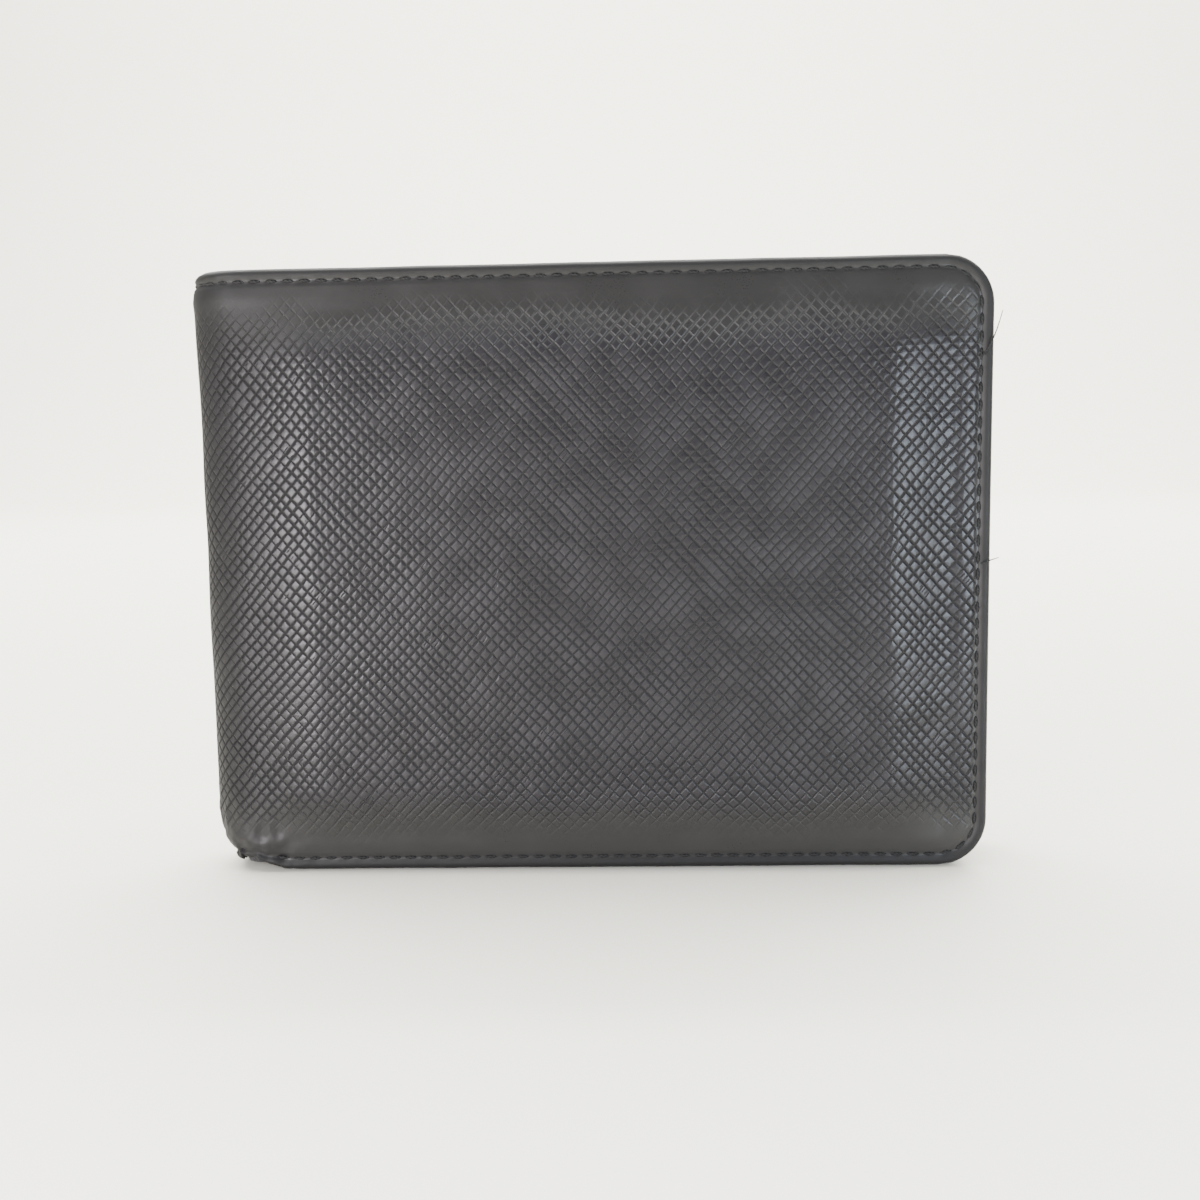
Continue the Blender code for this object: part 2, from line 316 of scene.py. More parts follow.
@dataclass(frozen=True)
class CrosshatchLeather:
    """Outer leather printed with two crossing sets of fine cuts, fading out towards the ends."""

    name: str = "crosshatch_leather"
    pad_tone: Colour = (0.0105, 0.0095, 0.0115)
    worn_tone: Colour = (0.027, 0.025, 0.029)
    painted_shade_tone: Colour = (0.0035, 0.0033, 0.0036)
    # Colour of the painted shade in the cuts and on the darkened edge band and fold.
    smooth_tone: Colour = (0.019, 0.0183, 0.0175)
    spacing_mm: float = 1.25
    falling_spacing: float = 1.06
    small_spacing: float = 0.5
    rising_degrees: float = 138.0
    falling_degrees: float = 43.0
    small_degrees: float = 139.0
    unevenness: float = 0.42
    drift_mm: float = 1.3
    shiver_mm: float = 0.24
    relief: float = 0.16 * MM
    plain_roughness: float = 0.25
    specular: float = 0.25

    def cuts(
        self, board: Board, place: Socket, degrees: float, spacing: float, shift: float
    ) -> Socket:
        """Distance to the nearest of a set of slanting cuts, in spacings.

        Args:
            board: The material's board.
            place: The place on the flat cut, in millimetres.
            degrees: The direction across the cuts.
            spacing: Mean distance between cuts, in the material's own spacings.
            shift: Moves the set along, so that two sets differ.

        Returns:
            The distance socket, from 0 to about a half.
        """
        turn, spacing = math.radians(degrees), self.spacing_mm * spacing
        across = (math.cos(turn) / spacing, math.sin(turn) / spacing, 0.0)
        along = board.math("ADD", board.vector("DOT_PRODUCT", place, across), shift)
        cells = board.add(
            "ShaderNodeTexVoronoi", voronoi_dimensions="1D", feature="DISTANCE_TO_EDGE"
        )
        board.feed(cells.inputs["W"], along)
        cells.inputs["Scale"].default_value = 1.0
        cells.inputs["Randomness"].default_value = self.unevenness
        return cells.outputs["Distance"]

    def make(self) -> bpy.types.Material:
        """Builds the material.

        Returns:
            The finished material.
        """
        board = Board(self.name)
        flat = board.cut_mm()
        place = board.shifted(flat, flat, 0.045, self.drift_mm)
        place = board.shifted(place, flat, 0.55, self.shiver_mm)

        patch = board.noise(flat, 0.060, 2.0)
        rising = self.cuts(board, place, self.rising_degrees, 1.0, 11.3)
        falling = self.cuts(board, place, self.falling_degrees, self.falling_spacing, 40.7)
        faint = board.noise(flat, 0.30, 1.0)
        loss = board.math("MULTIPLY_ADD", faint, 0.5, patch)
        rising = board.math("ADD", rising, board.step(loss, 0.80, 0.98, 0.0, 0.09))
        loss = board.math("MULTIPLY_ADD", faint, -0.5, patch)
        falling = board.math("ADD", falling, board.step(loss, 0.14, 0.34, 0.09, 0.0))
        small = self.cuts(board, place, self.small_degrees, self.small_spacing, 5.1)
        small = board.math("ADD", small, board.step(faint, 0.60, 0.72, 0.40, 0.08))
        nearest = board.math("MINIMUM", board.math("MINIMUM", rising, falling), small)

        pads = board.step(nearest, 0.01, 0.21)
        pores = board.noise(flat, 4.5, 3.0)
        ragged = board.math("MULTIPLY_ADD", patch, 0.7, -0.35)
        shown = board.math("ADD", board.attribute("grain"), ragged)
        printed, scored = board.step(shown, 0.25, 0.95), board.step(shown, 0.02, 0.55)

        height = board.math("MULTIPLY", board.math("SUBTRACT", pads, 1.0), scored)
        crown = board.math("MULTIPLY", board.step(nearest, 0.0, 0.50), printed)
        height = board.math("MULTIPLY_ADD", height, 0.75, board.math("MULTIPLY", crown, 0.22))
        height = board.math("MULTIPLY_ADD", pores, 0.02, height)
        board.bump(height, self.relief)

        blotch = board.step(board.noise(flat, 0.16, 3.0), 0.35, 0.70)
        tone = board.mix(board.math("MULTIPLY", blotch, 0.35), self.pad_tone, self.worn_tone)
        # Painted shade: the colour in the cuts is darkened, besides their roughness being raised.
        depth = board.math("MULTIPLY", board.math("SUBTRACT", 1.0, pads), scored)
        tone = board.mix(board.math("MULTIPLY", depth, 0.9), tone, self.painted_shade_tone)
        bare = board.math("MULTIPLY", board.math("SUBTRACT", 1.0, printed), 0.8)
        tone = board.mix(bare, tone, self.smooth_tone)
        scuff = board.math("MULTIPLY", board.attribute("wear"), board.step(pores, 0.35, 0.65))
        tone = board.mix(board.math("MULTIPLY", scuff, 0.40), tone, self.worn_tone)
        dull = board.math("MULTIPLY_ADD", depth, 0.40, self.plain_roughness)
        dull = board.math("MULTIPLY_ADD", blotch, 0.08, dull)
        dull = board.math("MULTIPLY_ADD", pores, 0.06, dull)
        # Painted shade: the turned edge band and the fold get a darker colour as well as more
        # roughness.
        matt_and_shade = board.attribute("matt_and_shade")
        tone = board.mix(board.math("MULTIPLY", matt_and_shade, 0.8), tone, self.painted_shade_tone)
        dull = board.math("MULTIPLY_ADD", matt_and_shade, 0.30, dull)
        board.set(Base_Color=tone, Roughness=dull, Specular_IOR_Level=self.specular)
        return board.material


@dataclass(frozen=True)
class PebbleLeather:
    """Smooth inner leather with a fine even pebble."""

    name: str = "inner_leather"
    tone: Colour = (0.0065, 0.0062, 0.0068)
    worn_tone: Colour = (0.016, 0.0153, 0.0165)
    pebble_mm: float = 0.55
    relief: float = 0.05 * MM

    def make(self) -> bpy.types.Material:
        """Builds the material.

        Returns:
            The finished material.
        """
        board = Board(self.name)
        flat = board.cut_mm()
        place = board.shifted(flat, flat, 1.4, 0.35)
        cells = board.add("ShaderNodeTexVoronoi", feature="F1")
        board.feed(cells.inputs["Vector"], place)
        cells.inputs["Scale"].default_value = 1.0 / self.pebble_mm
        pebble = board.step(cells.outputs["Distance"], 0.15, 0.75, 1.0, 0.0)
        fine = board.noise(flat, 6.0, 2.0)
        board.bump(board.math("MULTIPLY_ADD", fine, 0.25, pebble), self.relief)
        blotch = board.step(board.noise(flat, 0.09, 3.0), 0.40, 0.75)
        tone = board.mix(board.math("MULTIPLY", blotch, 0.4), self.tone, self.worn_tone)
        wear = board.math("MULTIPLY", board.attribute("wear"), 0.6)
        tone = board.mix(wear, tone, self.worn_tone)
        dull = board.math("MULTIPLY_ADD", pebble, -0.08, 0.50)
        board.set(Base_Color=tone, Roughness=dull, Specular_IOR_Level=0.28)
        return board.material


@dataclass(frozen=True)
class TwillFabric:
    """Woven lining cloth with a slanting rib."""

    name: str
    tone: Colour
    gap_tone: Colour
    pitch_mm: float = 0.42
    relief: float = 0.06 * MM

    def make(self) -> bpy.types.Material:
        """Builds the material.

        Returns:
            The finished material.
        """
        board = Board(self.name)
        flat = board.cut_mm()
        turn = 2 * math.pi / self.pitch_mm
        warp = board.math("SINE", board.vector("DOT_PRODUCT", flat, (turn, 0.0, 0.0)))
        weft = board.math("SINE", board.vector("DOT_PRODUCT", flat, (0.0, turn, 0.0)))
        rib = board.math("SINE", board.vector("DOT_PRODUCT", flat, (turn / 2, turn / 2, 0.0)))
        weave = board.math("MULTIPLY_ADD", board.math("MULTIPLY", warp, weft), 0.25, 0.5)
        weave = board.math("MULTIPLY_ADD", rib, 0.22, weave)
        fuzz = board.noise(flat, 9.0, 2.0)
        height = board.math("MULTIPLY_ADD", fuzz, 0.2, weave)
        board.bump(height, self.relief)
        shade = board.step(height, 0.25, 0.95)
        fade = board.step(board.noise(flat, 0.12, 2.0), 0.3, 0.7, 0.85, 1.0)
        tone = board.mix(board.math("MULTIPLY", shade, fade), self.gap_tone, self.tone)
        board.set(Base_Color=tone, Roughness=0.85, Sheen_Weight=0.08, Sheen_Roughness=0.4)
        return board.material


@dataclass(frozen=True)
class TwistedThread:
    """Waxed sewing thread, with the plies' twist as slanting ribs."""

    name: str = "waxed_thread"
    tone: Colour = (0.003, 0.003, 0.0032)
    # Colour of the painted highlight on the rib crests.
    light_tone: Colour = (0.010, 0.0098, 0.0105)
    slant: Tuple[float, float, float] = (11.0, 9.0, 11.0)
    relief: float = 0.05 * MM

    def make(self) -> bpy.types.Material:
        """Builds the material.

        Returns:
            The finished material.
        """
        board = Board(self.name)
        place = board.place_mm()
        slant = board.vector("DOT_PRODUCT", place, self.slant)
        rib = board.math("MULTIPLY_ADD", board.math("SINE", slant), 0.5, 0.5)
        fibre = board.noise(place, 9.0, 3.0)
        height = board.math("MULTIPLY_ADD", fibre, 0.5, rib)
        board.bump(height, self.relief)
        # Painted highlight: the raised crests of the ribs are coloured lighter.
        tone = board.mix(board.step(height, 0.4, 1.3), self.tone, self.light_tone)
        board.set(Base_Color=tone, Roughness=0.7, Specular_IOR_Level=0.3)
        return board.material


@dataclass(frozen=True)
class ClearFilm:
    """Clear window film, slightly hazed by small scratches."""

    name: str = "clear_film"
    tone: Colour = (0.82, 0.84, 0.85)
    ripple: float = 0.4 * MM

    def make(self) -> bpy.types.Material:
        """Builds the material.

        Returns:
            The finished material.
        """
        board = Board(self.name)
        flat = board.cut_mm()
        streak = board.vector("MULTIPLY", flat, (0.35, 3.0, 1.0))
        scratch = board.step(board.noise(streak, 1.2, 4.0), 0.52, 0.72)
        ripple = board.noise(flat, 0.11, 1.0)
        board.bump(ripple, self.ripple)
        dull = board.math("MULTIPLY_ADD", scratch, 0.25, 0.08)
        board.set(Base_Color=self.tone, Roughness=dull, Alpha=0.28, IOR=1.5)
        return board.material


@dataclass(frozen=True)
class PressedBoard:
    """Fibre board of the stiffeners."""

    name: str = "pressed_board"
    dark_tone: Colour = (0.16, 0.12, 0.085)
    light_tone: Colour = (0.28, 0.22, 0.16)
    relief: float = 0.05 * MM

    def make(self) -> bpy.types.Material:
        """Builds the material.

        Returns:
            The finished material.
        """
        board = Board(self.name)
        place = board.place_mm()
        fibre = board.noise(board.vector("MULTIPLY", place, (0.4, 1.0, 2.4)), 1.6, 4.0)
        board.bump(fibre, self.relief)
        tone = board.mix(board.step(fibre, 0.3, 0.7), self.dark_tone, self.light_tone)
        board.set(Base_Color=tone, Roughness=0.85)
        return board.material


@dataclass(frozen=True)
class StudioSurface:
    """Pale floor and backdrop paint."""

    name: str = "studio_paint"
    tone: Colour = (0.87, 0.845, 0.755)

    def make(self) -> bpy.types.Material:
        """Builds the material.

        Returns:
            The finished material.
        """
        board = Board(self.name)
        mottle = board.noise(board.place_mm(), 0.03, 3.0)
        shade = board.step(mottle, 0.3, 0.7, 0.0, 0.35)
        tone = board.mix(shade, self.tone, tuple(c * 0.96 for c in self.tone))
        board.set(Base_Color=tone, Roughness=0.6)
        return board.material


def slot_finishes() -> Dict[Slot, bpy.types.Material]:
    """Makes the material of every slot.

    Returns:
        The materials by slot.
    """
    lining = TwillFabric(
        "lining_twill", tone=(0.030, 0.029, 0.032), gap_tone=(0.006, 0.006, 0.0065)
    )
    divider = TwillFabric(
        "divider_twill", tone=(0.036, 0.035, 0.038), gap_tone=(0.008, 0.008, 0.0085), pitch_mm=0.36
    )
    return {
        Slot.OUTER: CrosshatchLeather().make(),
        Slot.INNER: PebbleLeather().make(),
        Slot.LINING: lining.make(),
        Slot.DIVIDER: divider.make(),
        Slot.THREAD: TwistedThread().make(),
        Slot.FILM: ClearFilm().make(),
        Slot.BOARD: PressedBoard().make(),
    }


@dataclass
class Finishes:
    """Every material, made once."""

    slots: Dict[Slot, bpy.types.Material] = field(default_factory=slot_finishes)
    studio: bpy.types.Material = field(default_factory=lambda: StudioSurface().make())


# ---------------------------------------------------------------- mesh work


def only(obj: bpy.types.Object) -> bpy.types.Object:
    """Selects one object alone and makes it active.

    Args:
        obj: The object.

    Returns:
        The same object.
    """
    bpy.ops.object.select_all(action="DESELECT")
    obj.select_set(True)
    bpy.context.view_layer.objects.active = obj
    return obj


def apply_all(obj: bpy.types.Object) -> None:
    """Applies an object's modifiers in order.

    Args:
        obj: The object.
    """
    only(obj)
    for name in [modifier.name for modifier in obj.modifiers]:
        bpy.ops.object.modifier_apply(modifier=name)


def points_of(mesh: bpy.types.Mesh) -> Array:
    """A mesh's points as rows of x, y and z.

    Args:
        mesh: The mesh.

    Returns:
        The rows.
    """
    flat = np.zeros(len(mesh.vertices) * 3)
    mesh.vertices.foreach_get("co", flat)
    return flat.reshape(-1, 3)


def set_points(mesh: bpy.types.Mesh, points: Array) -> None:
    """Moves a mesh's points."""
    mesh.vertices.foreach_set("co", np.ascontiguousarray(points, dtype=np.float32).ravel())
    mesh.update()


def store(mesh: bpy.types.Mesh, name: str, values: Array) -> None:
    """Keeps a number for each point of a mesh, for its material to read."""
    made = mesh.attributes.new(name, "FLOAT", "POINT")
    made.data.foreach_set("value", values.astype(np.float32))


def smooth(values: Array, low: float, high: float) -> Array:
    """0 to 1 as values go from low to high, with level ends."""
    t = np.clip((values - low) / (high - low), 0.0, 1.0)
    return t * t * (3 - 2 * t)


def wander(first: Array, second: Array, size: float, seed: float) -> Array:
    """Smooth noise from -1 to 1 over a sheet, with features of a given size."""
    return np.array(
        [noise.noise(Vector((a / size, b / size, seed))) for a, b in zip(first, second)]
    )


def full_share(edge: Array, roll: float) -> Array:
    """How much of its thickness a sheet has, 0 at its edge and 1 from the roll inwards."""
    return np.sqrt(1 - (1 - np.clip(edge / roll, 0.0, 1.0)) ** 2)


def open_edges(obj: bpy.types.Object, chosen: Callable[[Vector, Vector], bool]) -> None:
    """Enters edit mode on the active object with some of its edges selected.

    Args:
        obj: The active object.
        chosen: Tells from an edge's two points whether it is wanted.
    """
    bpy.ops.object.mode_set(mode="EDIT")
    bpy.ops.mesh.select_all(action="DESELECT")
    bpy.ops.object.mode_set(mode="OBJECT")
    for edge in obj.data.edges:
        first, second = (obj.data.vertices[index].co for index in edge.vertices)
        edge.select = chosen(first, second)
    bpy.ops.object.mode_set(mode="EDIT")


@dataclass(frozen=True)
class Bulge:
    """A rounded rise: its height, where its middle is, and how far it reaches."""

    height: float
    middle: float
    reach: float

    def at(self, values: Array) -> Array:
        """The rise at each value."""
        return self.height * np.exp(-(((values - self.middle) / self.reach) ** 2))


@dataclass(frozen=True)
class Ripple:
    """Smooth uneven waves: their height, their size, and where in the noise they are read."""

    height: float
    size: float
    seed: float

    def at(self, first: Array, second: Array) -> Array:
        """The waves' height at each place."""
        return self.height * wander(first, second, self.size, self.seed)


@dataclass
class FlatCut:
    """A sheet as it is cut: a rectangle with its corners rounded, in its own u and v.

    u runs from -width / 2 to width / 2, and v from 0 to height.
    """

    name: str
    width: float
    height: float
    columns: int
    rows: int
    left_radius: float = 0.0
    right_radius: float = 0.0
    crowding: float = 1.0
    middle_crowding: float = 0.0
    middle_reach: float = 0.13
    rim_share: float = 0.12

    def spaced(self, share: Array, middle: float) -> Array:
        """Crowds even shares together.

        Args:
            share: Even shares from -1 to 1.
            middle: How much closer they come in the middle.

        Returns:
            The shares, closer together at the ends and in the middle.
        """
        at = np.linspace(-1.0, 1.0, 2001)
        centre = Bulge(middle, 0.0, self.middle_reach).at(at)
        density = 1 + self.crowding * np.abs(at) ** 12 + centre
        total = np.concatenate([[0.0], np.cumsum((density[1:] + density[:-1]) / 2)])
        return np.interp(share, total / total[-1] * 2 - 1, at)

    def edge_distance(self, u: Array, v: Array) -> Array:
        """Distance inside the cut's outline.

        Args:
            u: Each point's u.
            v: Each point's v.

        Returns:
            The distances.
        """
        radius = np.where(u < 0, self.left_radius, self.right_radius)
        side = np.abs(u) - (self.width / 2 - radius)
        end = np.abs(v - self.height / 2) - (self.height / 2 - radius)
        outside = np.hypot(np.maximum(side, 0.0), np.maximum(end, 0.0))
        return radius - outside - np.minimum(np.maximum(side, end), 0.0)

    def lay_out(self) -> Tuple[bpy.types.Object, Array, Array]:
        """Makes the flat grid, finer towards the edges, and rounds its corners.

        Returns:
            The object, and each point's u and v.
        """
        bpy.ops.object.select_all(action="DESELECT")
        bpy.ops.mesh.primitive_grid_add(
            x_subdivisions=self.columns, y_subdivisions=self.rows, size=2.0
        )
        obj = bpy.context.object
        obj.name = self.name
        obj.data.name = self.name
        flat = points_of(obj.data)
        u = self.spaced(flat[:, 0], self.middle_crowding) * self.width / 2
        v = (self.spaced(flat[:, 1], 0.0) + 1) * self.height / 2
        radius = np.where(u < 0, self.left_radius, self.right_radius)
        into = np.clip(radius - np.minimum(v, self.height - v), 0.0, None)
        limit = self.width / 2 - radius + np.sqrt(np.maximum(radius**2 - into**2, 0.0))
        zone = self.width / 2 - 2.2 * radius
        past = np.clip(np.abs(u) - zone, 0.0, None)
        share = past / np.maximum(self.width / 2 - zone, 1e-9)
        u = np.where(past > 0, np.sign(u) * (zone + share * (limit - zone)), u)
        return obj, u, v

    def finish(
        self, obj: bpy.types.Object, u: Array, v: Array, points: Array,
        thickness: float, roll: float,
    ) -> bpy.types.Object:
        """Moves the grid into place, keeps its flat cut as a UV map, and gives it thickness.

        Args:
            obj: The flat grid.
            u: Each point's u.
            v: Each point's v.
            points: Where each point goes.
            thickness: The sheet's thickness.
            roll: How far in from its edge the sheet starts to round off.

        Returns:
            The finished closed sheet.
        """
        mesh = obj.data
        set_points(mesh, points)
        layer = mesh.uv_layers.active or mesh.uv_layers.new(name="cut")
        corner = np.zeros(len(mesh.loops), dtype=np.int32)
        mesh.loops.foreach_get("vertex_index", corner)
        flat = np.column_stack([u[corner], v[corner]]).astype(np.float32)
        layer.data.foreach_set("uv", flat.ravel())
        weights = np.maximum(full_share(self.edge_distance(u, v), roll), self.rim_share)
        group = obj.vertex_groups.new(name="thickness")
        whole = weights > 0.999
        group.add(np.nonzero(whole)[0].tolist(), 1.0, "REPLACE")
        for index in np.nonzero(~whole)[0]:
            group.add([int(index)], float(weights[index]), "REPLACE")
        mesh.shade_smooth()
        shell = obj.modifiers.new("thickness", "SOLIDIFY")
        shell.thickness = thickness
        shell.offset = -1.0
        shell.vertex_group = group.name
        shell.thickness_vertex_group = 0.0
        apply_all(obj)
        obj.vertex_groups.clear()
        return obj


def dress(
    obj: bpy.types.Object, finishes: Finishes, slot: Slot, replaced: Sequence[str]
) -> bpy.types.Object:
    """Gives a piece its finish and hides the frame's nodes that it stands for.

    Args:
        obj: The piece.
        finishes: Every material.
        slot: The piece's material slot.
        replaced: The frame's nodes that it stands for, if any.

    Returns:
        The same piece.
    """
    obj.data.materials.clear()
    obj.data.materials.append(finishes.slots[slot])
    if replaced:
        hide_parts(*replaced)
    return obj


# ---------------------------------------------------------------- the outside


@dataclass(frozen=True)
class Section:
    """The shape of one skin of the closed wallet, from the fold to the free edge."""

    fold_x: float
    edge_x: float
    height: float
    band_half: float
    relief: float
    start: float
    band_width: float = 2.8 * MM
    end_slope: float = 10.0 * MM
    edge_slope: float = 11.5 * MM
    fold_slope: float = 16.0 * MM
    fold_slope_start: float = 2.0 * MM
    fold_reach: float = 8.0 * MM
    ridge: float = 0.6
    crush_height: float = 9.5 * MM
    crush_depth: float = 3.6 * MM
    crush_reach: float = 11.0 * MM
    squeeze: float = 0.10
    top_round: float = 2.2 * MM
    ridge_wander: float = 0.45 * MM
    ridge_size: float = 3.2 * MM

    def cap(self) -> Tuple[Array, Array]:
        """Angles round half the fold, and the length along the skin to each.

        Returns:
            The angles, and the lengths.
        """
        angles = np.linspace(0.0, math.pi / 2, 241)
        x = -(self.fold_reach - self.start) * np.cos(angles)
        y = self.band_half * np.sin(angles)
        steps = np.hypot(np.diff(x), np.diff(y))
        return angles, np.concatenate([[0.0], np.cumsum(steps)])

    def half_cut(self) -> float:
        """Length along the skin from the middle of the fold to the free edge."""
        return float(self.cap()[1][-1]) + self.edge_x - self.fold_x - self.fold_reach

    def shoulder(self, distance: Array, length: float) -> Array:
        """Height share across a shoulder: level at its foot, with a slight ridge at its top."""
        t = np.clip(distance / length, 0.0, 1.0)
        return t * t * (3 - 2 * t) + self.ridge * (t**3 - t**2)

    def raised(self, x: Array, z: Array) -> Array:
        """How far the filled middle has risen, with an uneven ridge on each side.

        Args:
            x: Places from left to right.
            z: Heights.

        Returns:
            The share of the relief, 0 to 1.
        """
        uneven = self.ridge_wander * wander(z, np.round(x / (40 * MM)), self.ridge_size, 5.0)
        return (
            self.shoulder(self.edge_x - x - self.band_width + uneven, self.edge_slope)
            * self.shoulder(x - self.fold_x - self.fold_slope_start, self.fold_slope)
            * smooth(z, self.band_width, self.band_width + self.end_slope)
            * smooth(self.height - z, self.band_width, self.band_width + self.end_slope)
        )

    def bend(self, obj: bpy.types.Object, reach: float) -> None:
        """Bakes a piece's placement into its mesh.

        Args:
            obj: The piece.
            reach: Not used.
        """
        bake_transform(obj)

    def skin(self, u: Array, v: Array) -> Array:
        """Places of points of the flat cut on the skin, before any wear.

        Args:
            u: Distance from the fold along the cut, positive on the front leaf.
            v: Height on the cut.

        Returns:
            Rows of x, y and z.
        """
        angles, lengths = self.cap()
        along = np.abs(u)
        angle = np.interp(along, lengths, angles)
        beyond = np.maximum(along - lengths[-1], 0.0)
        inner_reach = self.fold_reach - self.start
        x = self.fold_x + self.start + inner_reach * (1 - np.cos(angle)) + beyond
        half = self.band_half * np.sin(angle) + self.relief * self.raised(x, v)
        return np.column_stack([x, np.where(u > 0, -half, half), v])

    def crush(self, points: Array) -> Array:
        """Pushes the worn bottom end of the fold in, and rounds its top end.

        Args:
            points: Rows of x, y and z.

        Returns:
            The moved rows.
        """
        moved = points.copy()
        reach = points[:, 0] - self.fold_x
        near = np.clip(1 - reach / self.crush_reach, 0.0, 1.0) ** 2
        low = np.clip(1 - points[:, 2] / self.crush_height, 0.0, 1.0)
        high = np.clip(1 - (self.height - points[:, 2]) / self.top_round, 0.0, 1.0)
        moved[:, 0] += self.crush_depth * low**2 * near + 1.0 * MM * high**2 * near
        moved[:, 1] *= 1 - self.squeeze * low**2 * np.clip(1 - reach / self.fold_reach, 0.0, 1.0)
        return moved

    def normals(self, u: Array, v: Array) -> Array:
        """Outward directions of the skin at points of the flat cut.

        Args:
            u: Distance from the fold along the cut.
            v: Height on the cut.

        Returns:
            Rows of unit vectors.
        """
        nudge = 0.05 * MM
        across = self.skin(u + nudge, v) - self.skin(u - nudge, v)
        upward = self.skin(u, v + nudge) - self.skin(u, v - nudge)
        out = np.cross(across, upward)
        return out / np.linalg.norm(out, axis=1)[:, None]


@dataclass
class SeamLine:
    """Where the perimeter seam runs on the flat cut, and its stitches' places along it."""

    half_cut: float
    height: float
    corner: float = CORNER
    inset: float = 1.75 * MM
    pitch: float = 2.4 * MM
    samples: int = 400

    def leaf_path(self, side: int, first: float, last: float) -> Tuple[Array, Array]:
        """Points close together along one leaf's seam, from the fold's top end to its bottom end.

        Args:
            side: 1 for the front leaf, -1 for the back leaf.
            first: Distance from the fold at which the seam starts, at the top.
            last: Distance from the fold at which it ends, at the bottom.

        Returns:
            Each point's u and v.
        """
        radius = self.corner - self.inset
        far = self.half_cut - self.corner
        top = self.height - self.inset
        spread = np.linspace(0.0, 1.0, self.samples)
        turn = np.linspace(0.0, math.pi / 2, 60)
        us = [
            first + (far - first) * spread,
            far + radius * np.sin(turn),
            np.full(self.samples, far + radius),
            far + radius * np.cos(turn),
            far + (last - far) * spread,
        ]
        vs = [
            np.full(self.samples, top),
            top - radius + radius * np.cos(turn),
            top - radius + (self.inset + radius - (top - radius)) * spread,
            self.inset + radius - radius * np.sin(turn),
            np.full(self.samples, self.inset),
        ]
        return side * np.concatenate(us), np.concatenate(vs)

    def stops(self, u: Array, v: Array) -> Tuple[Array, Array, Array, Array]:
        """Stitch ends spaced evenly along a path.

        Args:
            u: The path's distances along the cut.
            v: The path's heights.

        Returns:
            u and v of each stitch's start, and then of its end.
        """
        steps = np.hypot(np.diff(u), np.diff(v))
        length = np.concatenate([[0.0], np.cumsum(steps)])
        count = max(int(round(length[-1] / self.pitch)), 1)
        marks = np.linspace(0.0, length[-1], count + 1)
        at_u, at_v = np.interp(marks, length, u), np.interp(marks, length, v)
        return at_u[:-1], at_v[:-1], at_u[1:], at_v[1:]


@dataclass
class StitchRow:
    """A row of sewn stitches, one modelled and the rest copied, joined into one piece."""

    name: str
    radius: float = 0.22 * MM
    sink: float = 0.09 * MM
    gap: float = 0.16
    sides: int = 7
    cuts: int = 4
    flatness: float = 0.8

    def pattern(self) -> bpy.types.Object:
        """Models one stitch, one unit long: a rod with round ends.

        Returns:
            The stitch.
        """
        bpy.ops.object.select_all(action="DESELECT")
        bpy.ops.mesh.primitive_cylinder_add(
            vertices=self.sides, radius=1.0, depth=1.0, end_fill_type="NGON",
            rotation=(0, math.pi / 2, 0),
        )
        stitch = bpy.context.object
        bpy.ops.object.transform_apply(location=False, rotation=True, scale=True)
        open_edges(stitch, lambda first, second: abs(first.x - second.x) > 0.5)
        bpy.ops.mesh.subdivide(number_cuts=self.cuts)
        bpy.ops.object.mode_set(mode="OBJECT")
        points = points_of(stitch.data)
        along = points[:, 0] * 2
        full = np.sqrt(np.clip(1 - np.abs(along) ** 3.0, 0.05, 1.0))
        points[:, 1] *= full
        points[:, 2] *= full
        set_points(stitch.data, points)
        stitch.data.shade_smooth()
        return stitch

    def sew(self, starts: Array, ends: Array, outward: Array) -> bpy.types.Object:
        """Places the stitches between their holes.

        Args:
            starts: Rows of x, y and z of each stitch's first hole.
            ends: The same for its second hole.
            outward: The surface's direction at each stitch.

        Returns:
            The joined row.
        """
        model = self.pattern()
        shape = points_of(model.data)
        made: List[bpy.types.Object] = []
        for start, end, out in zip(starts, ends, outward):
            run = Vector(end) - Vector(start)
            along = run.normalized()
            up = Vector(out)
            up = (up - along * up.dot(along)).normalized()
            side = up.cross(along)
            length = run.length * (1 - self.gap)
            middle = (Vector(start) + Vector(end)) / 2
            lift = self.radius * (1 - 0.9 * (2 * shape[:, 0]) ** 2) - self.sink
            local = (
                np.outer(shape[:, 0] * length, along)
                + np.outer(shape[:, 1] * self.radius, side)
                + np.outer(shape[:, 2] * self.radius * self.flatness + lift, up)
            )
            copy = model.copy()
            copy.data = model.data.copy()
            set_points(copy.data, local + np.array(middle))
            bpy.context.collection.objects.link(copy)
            made.append(copy)
        bpy.data.objects.remove(model)
        only(made[0])
        for copy in made:
            copy.select_set(True)
        if len(made) > 1:
            bpy.ops.object.join()
        row = bpy.context.view_layer.objects.active
        row.name = self.name
        row.data.name = self.name
        return row


